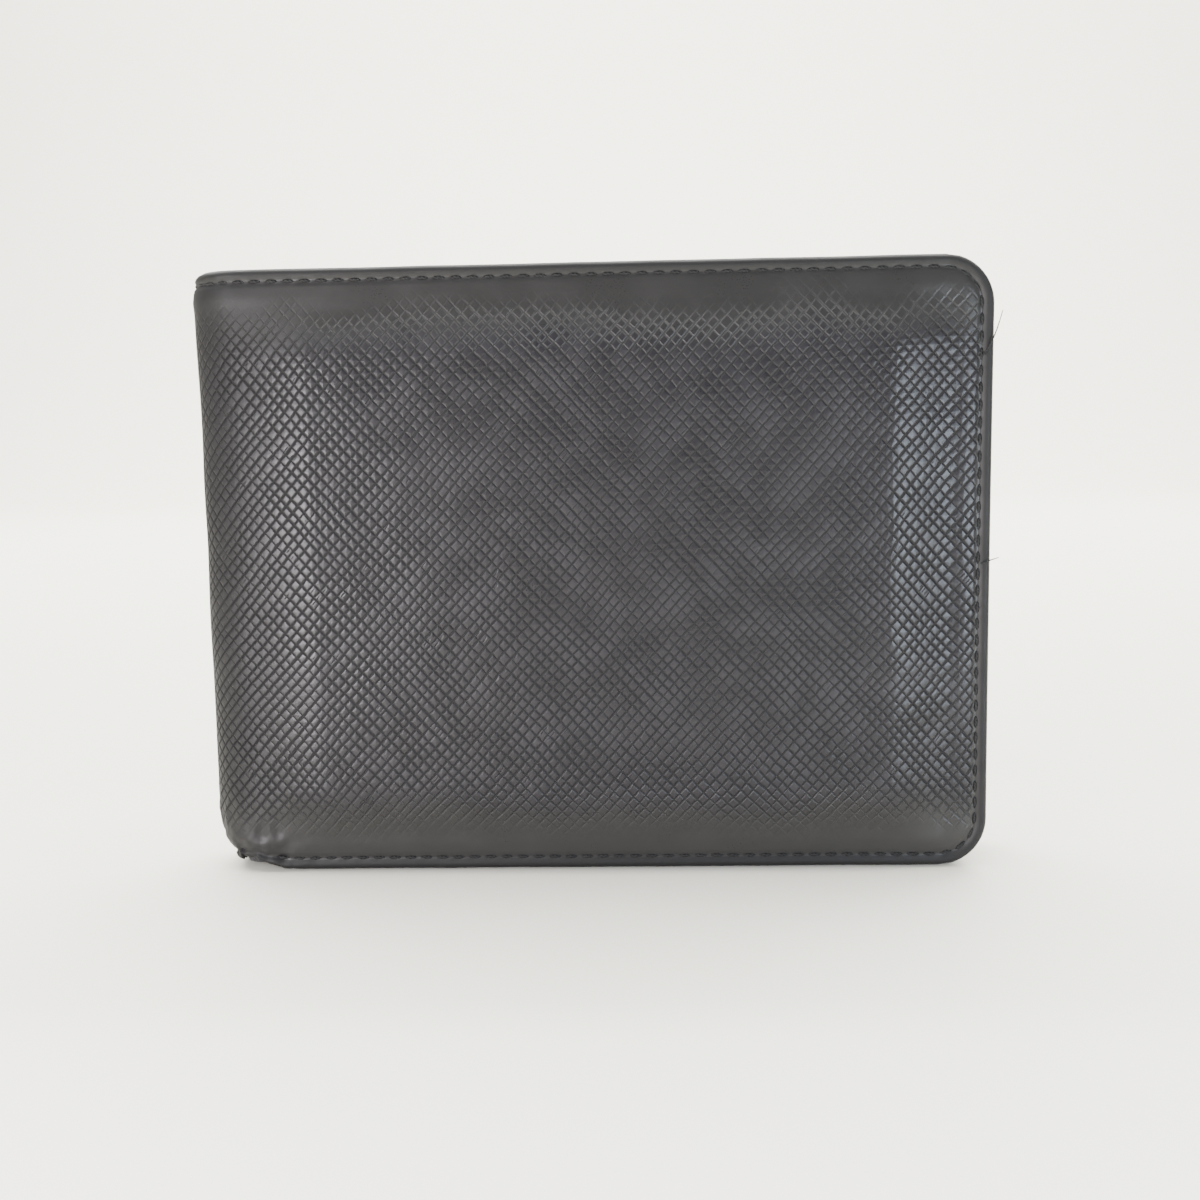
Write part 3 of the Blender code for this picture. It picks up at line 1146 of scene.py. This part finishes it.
@dataclass
class OuterLeather:
    """The outer leather: one cut from the back leaf's edge round the fold to the front's."""

    finishes: Finishes
    section: Section
    seam: SeamLine
    corner: float = CORNER
    thickness: float = 1.2 * MM
    roll: float = 0.75 * MM
    columns: int = 400
    rows: int = 118
    crowding: float = 1.6
    seam_start: float = 8.4 * MM
    torn_seam_end: float = 13.5 * MM
    bend_reach: float = 5.4 * MM
    groove: Bulge = Bulge(-0.42 * MM, SeamLine.inset, 0.42 * MM)
    lip: Bulge = Bulge(0.10 * MM, 0.9 * MM, 0.55 * MM)
    swell: Bulge = Bulge(0.22 * MM, 4.0 * MM, 1.3 * MM)
    broad: Ripple = Ripple(0.30 * MM, 31 * MM, 2.7)
    rumple: Ripple = Ripple(0.10 * MM, 9 * MM, 8.1)
    drawn: Ripple = Ripple(0.20 * MM, 7 * MM, 4.4)
    sway: Ripple = Ripple(0.16 * MM, 22 * MM, 3.0)
    fold_zone: Bulge = Bulge(1.0, 0.0, 26 * MM)
    crumpled_zone: Bulge = Bulge(1.0, 8 * MM, 9 * MM)
    worn_zone: Bulge = Bulge(1.0, 7 * MM, 9 * MM)
    # Where the fold is made rougher and darkened with painted shade.
    matt_and_shade_zone: Bulge = Bulge(0.9, 6 * MM, 9 * MM)
    torn_zone: Bulge = Bulge(2.0 * MM, 8.5 * MM, 4.6 * MM)
    torn_height: float = 7 * MM
    wrinkle_depth: float = 0.95 * MM
    small_wrinkle_depth: float = 0.42 * MM
    crease_depth: float = 0.22 * MM
    bow: float = 0.12 * MM

    def relief(self, u: Array, v: Array, edge: Array) -> Array:
        """How far the leather stands off its even shape, with groove, puckers and rumples.

        Args:
            u: Distance from the fold along the cut.
            v: Height on the cut.
            edge: Distance inside the cut's outline.

        Returns:
            The distances outwards.
        """
        run = np.where(np.abs(v - self.seam.height / 2) > self.seam.height / 2 - 5 * MM, u, v)
        pucker = 0.5 + 0.5 * np.cos(2 * math.pi * run / self.seam.pitch)
        groove = self.groove.at(edge) * (0.8 + 0.3 * pucker)
        inside = smooth(edge, 2.5 * MM, 7.0 * MM)
        rumples = self.broad.at(u, v) + self.rumple.at(u, v)
        rumples += self.drawn.at(u, v * 0.45) * self.fold_zone.at(u)
        return groove + self.lip.at(edge) + self.swell.at(edge) + rumples * inside

    def crumple(self, u: Array, v: Array) -> Array:
        """Sharp wrinkles at the crushed bottom end of the fold.

        Args:
            u: Distance from the fold along the cut.
            v: Height on the cut.

        Returns:
            The distances outwards.
        """
        crushed = self.crumpled_zone.at(u) * smooth(-v, -15 * MM, -3 * MM)
        slant = 0.7 * u + 0.7 * v
        wrinkles = 0.5 - np.abs(wander(slant, v - u, 3.4 * MM, 12.0))
        small = 0.4 - np.abs(wander(slant * 0.6, v - u, 1.3 * MM, 21.0))
        return (self.wrinkle_depth * wrinkles + self.small_wrinkle_depth * small) * crushed

    def crease(self, u: Array, v: Array) -> Array:
        """A short curved dent low on the front leaf.

        Args:
            u: Distance from the fold along the cut.
            v: Height on the cut.

        Returns:
            The distances outwards.
        """
        start_u, start_v = self.section.half_cut() - 26 * MM, 22.0 * MM
        along = (u - start_u) / (6.0 * MM)
        line = start_v - 9.0 * MM * np.clip(along, 0, 1.2) ** 1.6
        dent = Bulge(-self.crease_depth, 0.0, 0.55 * MM).at(v - line)
        return dent * smooth(along, -0.1, 0.3) * smooth(-along, -1.15, -0.8)

    def tear(self, u: Array) -> Array:
        """How far the worn bottom end of the fold has frayed away.

        Args:
            u: Distance from the fold along the cut.

        Returns:
            The heights lost.
        """
        coarse = wander(u, np.zeros(len(u)), 2.3 * MM, 1.0)
        ragged = 1 + 0.5 * wander(u, np.full(len(u), 3.3), 0.9 * MM, 6.0) + 0.3 * coarse
        return self.torn_zone.at(u) * ragged

    def place(self, u: Array, v: Array, edge: Array) -> Array:
        """Where points of the cut lie on the finished, worn leather.

        Args:
            u: Distance from the fold along the cut.
            v: Height on the cut.
            edge: Distance inside the cut's outline.

        Returns:
            Rows of x, y and z.
        """
        lift = self.relief(u, v, edge) + self.crumple(u, v) + self.crease(u, v)
        lift -= self.thickness / 2 * (1 - full_share(edge, self.roll))
        frayed = v + self.tear(u) * np.clip(1 - v / self.torn_height, 0.0, 1.0) ** 2
        points = self.section.skin(u, frayed) + self.section.normals(u, frayed) * lift[:, None]
        bow = self.bow * np.sin(np.pi * np.clip(v / self.section.height, 0, 1)) ** 0.7
        outer = smooth(np.abs(u), self.section.half_cut() - 25 * MM, self.section.half_cut())
        points[:, 0] -= np.where(u > 0, bow, 0.0) * outer
        sway = self.sway.at(points[:, 0], np.sign(u) * 9.0)
        above = v - self.section.height / 2
        ends = smooth(np.abs(above), 20 * MM, self.section.height / 2)
        points[:, 2] -= (np.abs(sway) * np.sign(above)) * ends
        return self.section.crush(points)

    def build(self) -> bpy.types.Object:
        """Cuts, wraps and finishes the leather.

        Returns:
            The closed leather shell.
        """
        cut = FlatCut(
            "outer_leather", 2 * self.section.half_cut(), self.section.height,
            self.columns, self.rows, self.corner, self.corner, self.crowding, self.crowding,
        )
        obj, u, v = cut.lay_out()
        edge = cut.edge_distance(u, v)
        ends = np.minimum(v, self.section.height - v)
        grain = smooth(ends, 2.2 * MM, 16.0 * MM) * smooth(edge, 1.9 * MM, 2.6 * MM)
        store(obj.data, "grain", grain)
        store(obj.data, "wear", self.worn_zone.at(u) * smooth(-v, -14 * MM, -1 * MM))
        # The turned edge band and the fold: rougher, and darkened with painted shade.
        turned = 1 - smooth(edge, 0.9 * MM, 2.0 * MM)
        store(obj.data, "matt_and_shade", np.maximum(turned, self.matt_and_shade_zone.at(u)))
        points = self.place(u, v, edge)
        points[:, 2] = np.clip(points[:, 2], 0.0, self.section.height)
        cut.finish(obj, u, v, points, self.thickness, self.roll)
        dress(obj, self.finishes, Slot.OUTER, ("front_cover", "back_cover", "fold_cover"))
        self.section.bend(obj, self.bend_reach)
        return obj

    def row(self, name: str, u: Array, v: Array) -> bpy.types.Object:
        """Sews a row of stitches along a path on the flat cut.

        Args:
            name: The row's name.
            u: The path's distances from the fold.
            v: The path's heights.

        Returns:
            The joined row.
        """
        u0, v0, u1, v1 = self.seam.stops(u, v)
        inset = np.full(len(u0), self.seam.inset)
        starts, ends = self.place(u0, v0, inset), self.place(u1, v1, inset)
        outward = self.section.normals((u0 + u1) / 2, (v0 + v1) / 2)
        return StitchRow(name).sew(starts, ends, outward)

    def sew(self) -> None:
        """Sews the perimeter seam: a row on each leaf, and one across the fold's top end."""
        for side, body, node, last in (
            (1, Body.FRONT, "front_seam_thread", self.torn_seam_end),
            (-1, Body.BACK, "back_seam_thread", self.seam_start),
        ):
            path = self.seam.leaf_path(side, self.seam_start, last)
            row = self.row(body.value + "_stitches", *path)
            dress(row, self.finishes, Slot.THREAD, (node,))
            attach(row, body.value)
        across = np.linspace(-self.seam_start, self.seam_start, 200)
        high = np.full(len(across), self.seam.height - self.seam.inset)
        row = self.row("fold_stitches", across, high)
        dress(row, self.finishes, Slot.THREAD, ())
        self.section.bend(row, self.bend_reach)


@dataclass
class LooseEnd:
    """A short frayed end of thread that has worked out of the seam."""

    name: str
    root: Vector
    path_mm: Sequence[Tuple[float, float, float]]
    radius: float = 0.13 * MM
    taper: float = 0.6

    def build(self, finishes: Finishes, body: Body) -> bpy.types.Object:
        """Draws the thread as a thin tube that tapers to its end.

        Args:
            finishes: Every material.
            body: The body that carries it.

        Returns:
            The thread end.
        """
        curve = bpy.data.curves.new(self.name, "CURVE")
        curve.dimensions = "3D"
        curve.bevel_depth = self.radius
        curve.bevel_resolution = 2
        curve.use_fill_caps = True
        curve.resolution_u = 6
        spline = curve.splines.new("NURBS")
        last = len(self.path_mm) - 1
        spline.points.add(last)
        for index, (point, place) in enumerate(zip(spline.points, self.path_mm)):
            point.co = (*(self.root + Vector(place) * MM), 1.0)
            point.radius = 1.0 - self.taper * index / last
        spline.use_endpoint_u = True
        obj = bpy.data.objects.new(self.name, curve)
        bpy.context.collection.objects.link(obj)
        only(obj)
        bpy.ops.object.convert(target="MESH")
        obj = bpy.context.view_layer.objects.active
        obj.data.shade_smooth()
        dress(obj, finishes, Slot.THREAD, ())
        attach(obj, body.value)
        return obj


@dataclass
class CoverLining:
    """The lining cloth inside the outer leather, one cut across both leaves."""

    finishes: Finishes
    section: Section
    thickness: float = 0.4 * MM
    inset: float = 0.9 * MM
    corner: float = 6.1 * MM
    columns: int = 230
    rows: int = 70
    roll: float = 0.3 * MM
    bend_reach: float = 4.7 * MM
    ripple: Ripple = Ripple(0.05 * MM, 11 * MM, 9.2)
    frayed_zone: Bulge = Bulge(0.6 * MM, 0.0, 7 * MM)
    frayed_height: float = 5 * MM

    def build(self) -> bpy.types.Object:
        """Cuts and wraps the lining.

        Returns:
            The closed lining.
        """
        height = self.section.height - 2 * self.inset
        half = self.section.half_cut() - self.inset
        cut = FlatCut(
            "cover_lining", 2 * half, height,
            self.columns, self.rows, self.corner, self.corner, 1.0, 1.0,
        )
        obj, u, v = cut.lay_out()
        raised = v + self.inset
        raised -= self.frayed_zone.at(u) * np.clip(1 - v / self.frayed_height, 0.0, 1.0)
        lift = self.ripple.at(u, v)
        points = self.section.skin(u, raised) + self.section.normals(u, raised) * lift[:, None]
        points = self.section.crush(points)
        cut.finish(obj, u, v, points, self.thickness, self.roll)
        dress(
            obj, self.finishes, Slot.LINING,
            ("front_cover_lining", "back_cover_lining", "fold_lining"),
        )
        self.section.bend(obj, self.bend_reach)
        return obj


# ---------------------------------------------------------------- the inside


NO_CREASE = Bulge(0.0, 0.0, 1.0)


@dataclass
class FlatSheet:
    """A flat inner sheet that takes the place of one of the frame's layers."""

    finishes: Finishes
    node: str
    name: str
    body: Body
    face: Face
    slot: Slot = Slot.INNER
    columns: int = 90
    rows: int = 60
    free_radius: float = 4.0 * MM
    fold_radius: float = 0.8 * MM
    crease: Bulge = Bulge(0.10 * MM, 1.5 * MM, 0.32 * MM)
    wave: float = 0.07 * MM
    notch: float = 0.0
    seam_inset: float = 1.6 * MM

    def build(self) -> bpy.types.Object:
        """Cuts the sheet and lays it where its layer is.

        Returns:
            The closed sheet.
        """
        low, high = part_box(self.node)
        width, height, thickness = high.x - low.x, high.z - low.z, high.y - low.y
        sign = -self.face.value
        left, right = self.fold_radius, self.free_radius
        if sign < 0:
            left, right = right, left
        cut = FlatCut(self.name, width, height, self.columns, self.rows, left, right)
        obj, u, v = cut.lay_out()
        edge = cut.edge_distance(u, v)
        front = low.y if self.face is Face.FORWARD else high.y
        lift = self.wave * wander(u, v, 17 * MM, low.y * 1000) * smooth(edge, 0.5 * MM, 6 * MM)
        lift -= self.crease.at(height - v)
        if self.notch > 0:
            dip = np.sqrt(np.clip(1 - (u / self.notch) ** 2, 0.0, 1.0)) * self.notch
            lower = smooth(v, height - 2.5 * self.notch, height)
            v = v - dip * lower
        roll = min(thickness * 0.5, 0.3 * MM)
        lift -= thickness / 2 * (1 - full_share(edge, roll))
        points = np.column_stack(
            [(low.x + high.x) / 2 + sign * u, front + self.face.value * lift, low.z + v]
        )
        store(obj.data, "wear", 1 - smooth(edge, 0.0, 0.8 * MM))
        cut.finish(obj, u, v, points, thickness, roll)
        dress(obj, self.finishes, self.slot, (self.node,))
        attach(obj, self.body.value)
        return obj

    def sew(self, floor: float, top_row: bool = False) -> bpy.types.Object:
        """Sews the sheet's two sides above a height, its bottom if it shows, and a row under its
        top edge if asked.

        Args:
            floor: The height of the next sheet's top edge, or 0 where no sheet covers this one.
            top_row: Whether a row runs under the top edge as well.

        Returns:
            The joined stitches.
        """
        low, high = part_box(self.node)
        inset = self.seam_inset
        radius = self.free_radius - inset
        left, right = low.x + inset, high.x - inset
        foot, top = max(low.z + inset, floor + 1.5 * MM), high.z - 2.2 * MM
        line = SeamLine(0.0, 0.0)
        starts, ends = [], []

        def run(xs: Sequence[float], zs: Sequence[float]) -> None:
            """Adds the stitches of one path.

            Args:
                xs: The path's places from left to right.
                zs: The path's heights.
            """
            x0, z0, x1, z1 = line.stops(np.array(xs), np.array(zs))
            starts.append(np.column_stack([x0, z0]))
            ends.append(np.column_stack([x1, z1]))

        if floor > 0:
            run([left, left], [top, foot])
            run([right, right], [foot, top])
        else:
            turn = np.linspace(0.0, math.pi / 2, 24)
            run(
                [left, left, *(right - radius + radius * np.sin(turn)), right],
                [top, foot, *(foot + radius - radius * np.cos(turn)), top],
            )
        if top_row:
            run([left + 3 * MM, right - 3 * MM], [high.z - 2.6 * MM] * 2)
        flat0, flat1 = np.vstack(starts), np.vstack(ends)
        front = low.y if self.face is Face.FORWARD else high.y
        level = np.full(len(flat0), front)
        first = np.column_stack([flat0[:, 0], level, flat0[:, 1]])
        last = np.column_stack([flat1[:, 0], level, flat1[:, 1]])
        out = np.tile([0.0, float(self.face.value), 0.0], (len(level), 1))
        fine = StitchRow(self.name + "_stitches", radius=0.17 * MM, sink=0.12 * MM)
        row = fine.sew(first, last, out)
        dress(row, self.finishes, Slot.THREAD, ())
        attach(row, self.body.value)
        return row


@dataclass
class Leaf:
    """The inner sheets of one outer leaf: pockets, inner panel, note divider and stiffener."""

    finishes: Finishes
    side: str
    body: Body
    face: Face

    def sheet(self, node: str, name: str, **more: object) -> FlatSheet:
        """A sheet of the leaf, described but not yet built."""
        return FlatSheet(
            self.finishes, f"{self.side}_{node}", f"{self.side}_{name}",
            self.body, self.face, **more,
        )

    def build(self) -> None:
        """Builds, sews and dresses the leaf's inner sheets."""
        floor = 0.0
        for number in (3, 2, 1):
            pocket = self.sheet(f"card_pocket_{number}", f"leather_pocket_{number}")
            pocket.build()
            pocket.sew(floor)
            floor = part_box(pocket.node)[1].z
        panel = self.sheet("inner_panel", "leather_panel")
        panel.build()
        panel.sew(floor, top_row=True)
        self.sheet(
            "note_divider", "cloth_divider", slot=Slot.DIVIDER, crease=NO_CREASE, wave=0.12 * MM
        ).build()
        LOG.info("%s leaf: pockets, panel and divider", self.side)
        repaint(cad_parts[f"{self.side}_stiffener"], self.finishes.slots[Slot.BOARD])


def repaint(obj: bpy.types.Object, material: bpy.types.Material) -> None:
    """Gives a carried-over node a finish of its own."""
    for index in range(len(obj.material_slots)):
        obj.material_slots[index].material = material


@dataclass
class Wing:
    """The middle leaf: core, tab, two pockets behind, identity window in front."""

    finishes: Finishes
    window_margin: float = 4.0 * MM
    window_corner: float = 3.0 * MM
    tab_roll: float = 0.2 * MM

    def sheet(self, node: str, name: str, face: Face, **more: object) -> FlatSheet:
        """A sheet of the wing, described but not yet built."""
        return FlatSheet(self.finishes, node, name, Body.WING, face, **more)

    def cut_window(self, obj: bpy.types.Object) -> None:
        """Cuts the identity window out of the frame sheet, with round corners.

        Args:
            obj: The frame sheet.
        """
        low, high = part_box("wing_window_film")
        margin = 2 * self.window_margin
        bpy.ops.object.select_all(action="DESELECT")
        bpy.ops.mesh.primitive_cube_add(size=1.0, location=(low + high) / 2)
        cutter = bpy.context.object
        cutter.scale = (high.x - low.x - margin, 8 * MM, high.z - low.z - margin)
        bpy.ops.object.transform_apply(location=False, rotation=False, scale=True)
        open_edges(cutter, lambda first, second: abs(first.y - second.y) > 1 * MM)
        bpy.ops.mesh.bevel(offset=self.window_corner, segments=8)
        bpy.ops.object.mode_set(mode="OBJECT")
        only(obj)
        hole = obj.modifiers.new("window", "BOOLEAN")
        hole.operation = "DIFFERENCE"
        hole.solver = "EXACT"
        hole.object = cutter
        apply_all(obj)
        bpy.data.objects.remove(cutter)
        obj.data.shade_smooth()
        only(obj)
        bpy.ops.object.shade_smooth_by_angle(angle=math.radians(40))

    def build(self) -> None:
        """Builds, sews and dresses the wing."""
        core = self.sheet("wing_core", "wing_leather_core", Face.FORWARD, crease=NO_CREASE)
        core.build()
        floor = 0.0
        for number in (2, 1):
            node = f"wing_card_pocket_{number}"
            pocket = self.sheet(node, f"wing_leather_pocket_{number}", Face.BACKWARD)
            pocket.build()
            pocket.sew(floor)
            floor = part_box(node)[1].z
        window = self.sheet(
            "wing_window_frame", "wing_leather_window", Face.FORWARD, notch=8.0 * MM
        )
        self.cut_window(window.build())
        window.sew(0.0)
        self.sheet(
            "wing_window_film", "wing_clear_window", Face.FORWARD,
            slot=Slot.FILM, crease=NO_CREASE, free_radius=1.0 * MM, wave=0.03 * MM,
        ).build()
        self.build_tab()
        LOG.info("wing: core, pockets, window and tab")

    def build_tab(self) -> bpy.types.Object:
        """Lays the hinge tab from the fold to the core.

        Returns:
            The closed tab.
        """
        low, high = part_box("wing_hinge_tab")
        cut = FlatCut("wing_leather_tab", high.x - low.x, high.z - low.z, 24, 60)
        obj, u, v = cut.lay_out()
        points = np.column_stack([(low.x + high.x) / 2 + u, np.full(len(u), low.y), low.z + v])
        store(obj.data, "wear", np.zeros(len(u)))
        cut.finish(obj, u, v, points, high.y - low.y, self.tab_roll)
        dress(obj, self.finishes, Slot.INNER, ("wing_hinge_tab",))
        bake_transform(obj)
        return obj


# ---------------------------------------------------------------- the studio


@dataclass(frozen=True)
class SoftLight:
    """One soft rectangular light: where it hangs and what it looks at, from the wallet's centre."""

    name: str
    place: Tuple[float, float, float]
    aim: Tuple[float, float, float]
    size: Tuple[float, float]
    power: float
    tint: Colour

    def hang(self, centre: Vector) -> None:
        """Adds the light to the scene.

        Args:
            centre: The wallet's centre.
        """
        lamp = bpy.data.lights.new(self.name, "AREA")
        lamp.shape = "RECTANGLE"
        lamp.size, lamp.size_y = self.size
        lamp.energy = self.power
        lamp.color = self.tint
        obj = bpy.data.objects.new(self.name, lamp)
        obj.location = centre + Vector(self.place)
        obj.visible_camera = False
        look = Vector(self.aim) - Vector(self.place)
        obj.rotation_euler = look.to_track_quat("-Z", "Y").to_euler()
        bpy.context.scene.collection.objects.link(obj)


@dataclass
class Studio:
    """Pale floor and backdrop, soft lights, and the camera."""

    finishes: Finishes
    centre: Vector
    distance: float = 0.200
    azimuth: float = 2.05
    elevation: float = 6.8
    roll: float = 1.05
    lens: float = 40.0
    air: float = 0.62
    aim: Tuple[float, float, float] = (0.0012, 0.0, -0.0048)
    sky: Colour = (0.95, 0.97, 1.0)
    floor_half_width: float = 7.0
    floor_start: float = -7.0
    floor_length: float = 10.0
    floor_drop: float = 0.0002
    bend_start: float = 1.2
    bend_radius: float = 0.6
    lights: Tuple[SoftLight, ...] = (
        SoftLight(
            "left_strip", (-0.150, -0.20, -0.004), (-0.045, 0, -0.01),
            (0.075, 0.07), 0.75, (1.0, 0.96, 1.0),
        ),
        SoftLight(
            "right_strip", (0.175, -0.19, 0.0), (0.05, 0, 0), (0.10, 0.08), 0.60, (0.74, 0.86, 1.0)
        ),
        SoftLight(
            "left_window", (-0.45, -0.60, 0.30), (0, 0, 0), (0.35, 0.5), 3.5, (1.0, 0.98, 0.98)
        ),
        SoftLight("overhead", (0.0, 0.35, 1.15), (0, 0.22, 0), (2.2, 1.3), 80.0, (1.0, 1.0, 0.97)),
        SoftLight(
            "backdrop_wash", (0.0, 0.75, 1.3), (0, 1.7, 0.3), (2.4, 0.5), 90.0, (1.0, 1.0, 1.0)
        ),
    )

    def sweep(self) -> None:
        """Makes a floor that curves up into a backdrop far behind."""
        bpy.ops.object.select_all(action="DESELECT")
        bpy.ops.mesh.primitive_grid_add(x_subdivisions=4, y_subdivisions=140, size=2.0)
        floor = bpy.context.object
        floor.name = "studio_sweep"
        points = points_of(floor.data)
        along = (points[:, 1] + 1) / 2 * self.floor_length + self.floor_start
        radius, turn_at = self.bend_radius, self.bend_start
        angle = np.clip((along - turn_at) / radius, 0, math.pi / 2)
        rise = np.maximum(along - turn_at - radius * math.pi / 2, 0)
        depth = np.minimum(along, turn_at) + radius * np.sin(angle)
        height = radius * (1 - np.cos(angle)) + rise - self.floor_drop
        width = points[:, 0] * self.floor_half_width
        set_points(floor.data, np.column_stack([width, depth, height]))
        floor.data.shade_smooth()
        floor.data.materials.append(self.finishes.studio)
        floor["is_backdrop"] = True

    def set_lights(self) -> None:
        """Hangs the lights and fills the air with a dim even glow."""
        for light in self.lights:
            light.hang(self.centre)
        world = bpy.data.worlds.new("studio_air")
        world.use_nodes = True
        sky = world.node_tree.nodes["Background"]
        sky.inputs["Color"].default_value = (*self.sky, 1.0)
        sky.inputs["Strength"].default_value = self.air
        bpy.context.scene.world = world

    def set_camera(self) -> None:
        """Stands the camera in front of the wallet, a little above it and slightly rolled."""
        turn, tilt = math.radians(self.azimuth), math.radians(self.elevation)
        back = Vector(
            (math.sin(turn) * math.cos(tilt), -math.cos(turn) * math.cos(tilt), math.sin(tilt))
        )
        aim = self.centre + Vector(self.aim)
        camera = bpy.data.objects.new("camera", bpy.data.cameras.new("camera"))
        camera.data.lens = self.lens
        camera.data.clip_start = 0.01
        camera.location = aim + back * self.distance
        look = (-back).to_track_quat("-Z", "Y").to_matrix()
        spin = Matrix.Rotation(math.radians(-self.roll), 3, "Z")
        camera.rotation_euler = (look @ spin).to_euler()
        bpy.context.scene.collection.objects.link(camera)
        bpy.context.scene.camera = camera


# ---------------------------------------------------------------- the build


LINING_RELIEF = 1.8 * MM
THREAD_ENDS_MM = {
    "upper_thread_end": (
        (-1.6, -0.1, 74.0), (-0.5, -0.6, 75.4), (0.2, -0.5, 77.6), (0.9, -0.3, 80.0),
    ),
    "lower_thread_end": ((-1.6, -0.1, 44.5), (-0.7, -0.5, 44.9), (0.9, -0.4, 45.4)),
}


def main() -> None:
    """Builds the wallet in order."""
    logging.basicConfig(level=logging.INFO, format="%(name)s: %(message)s")
    low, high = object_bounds()
    finishes = Finishes()
    seam_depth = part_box("back_seam_thread")[0].y - LAYER_GAP
    outer = Section(low.x, high.x, high.z, seam_depth, high.y - seam_depth, 0.0)
    leather = OuterLeather(finishes, outer, SeamLine(outer.half_cut(), outer.height))
    leather.build()
    LOG.info("outer leather, %.0f mm long when flat", 2 * outer.half_cut() / MM)
    leather.sew()
    LOG.info("perimeter seam")
    under = leather.thickness + LAYER_GAP
    lining = Section(low.x, high.x, high.z, seam_depth - under, LINING_RELIEF, under)
    CoverLining(finishes, lining).build()
    LOG.info("cover lining")
    root = Vector((high.x, -seam_depth, 0.0))
    for name, path_mm in THREAD_ENDS_MM.items():
        LooseEnd(name, root, path_mm).build(finishes, Body.FRONT)
    Leaf(finishes, "back", Body.BACK, Face.FORWARD).build()
    Leaf(finishes, "front", Body.FRONT, Face.BACKWARD).build()
    Wing(finishes).build()
    studio = Studio(finishes, (low + high) / 2)
    studio.sweep()
    studio.set_lights()
    studio.set_camera()


if __name__ == "__main__":
    main()
